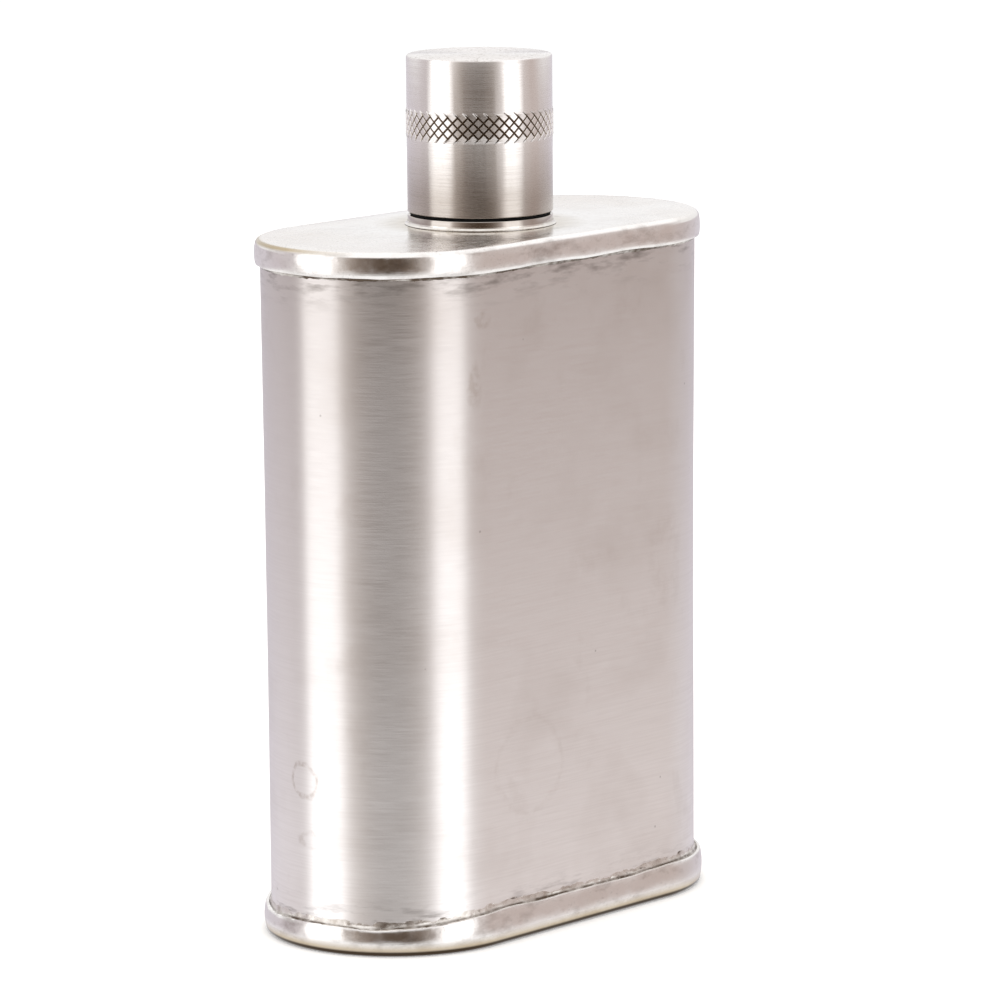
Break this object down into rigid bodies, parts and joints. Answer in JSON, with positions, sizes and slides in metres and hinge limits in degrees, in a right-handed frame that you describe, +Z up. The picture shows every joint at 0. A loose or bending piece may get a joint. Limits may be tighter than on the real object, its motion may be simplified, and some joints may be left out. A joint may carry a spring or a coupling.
{
  "type": "hip flask",
  "caption": "Obround sheet-metal hip flask with soldered end caps, a threaded neck and a tall screw cap with a diamond-knurled band.",
  "frame": {"origin": "middle of the flat base, on the surface that the flask stands on", "axes": "+X along the wide side, +Y through the flat faces towards the back, +Z up through the neck and cap"},
  "size_m": [0.0936, 0.0472, 0.151],
  "materials": {
    "brushed_sleeve": "brushed round the body, satin",
    "pressed_caps": "tumbled and buffed, semi-gloss, finely pitted",
    "turned_parts": "fine turned, satin",
    "solder": "rough soft solder, darkened",
    "black_rubber": "matte black"
  },
  "bodies": {
    "flask": {"body_sleeve": "brushed_sleeve", "side_seam_solder": "solder", "top_end_cap": "pressed_caps", "top_seam_solder": "solder", "bottom_end_cap": "pressed_caps", "bottom_seam_solder": "solder", "threaded_neck": "turned_parts", "neck_solder": "solder"},
    "ring": {"sealing_ring": "black_rubber"},
    "cap": {"screw_cap": "turned_parts"}
  },
  "joints": [
    {"name": "cap_lift", "type": "slide", "parent": "flask", "child": "ring", "axis": [0, 0, 1], "range_m": [0, 0.01]},
    {"name": "cap_turn", "type": "hinge", "parent": "ring", "child": "cap", "pos_m": [0, 0, 0.1237], "axis": [0, 0, 1], "range_deg": [0, 1440]}
  ],
  "couplings": [
    {"joint": "cap_lift", "follows": "cap_turn", "m_per_rad": 0.00039789}
  ]
}
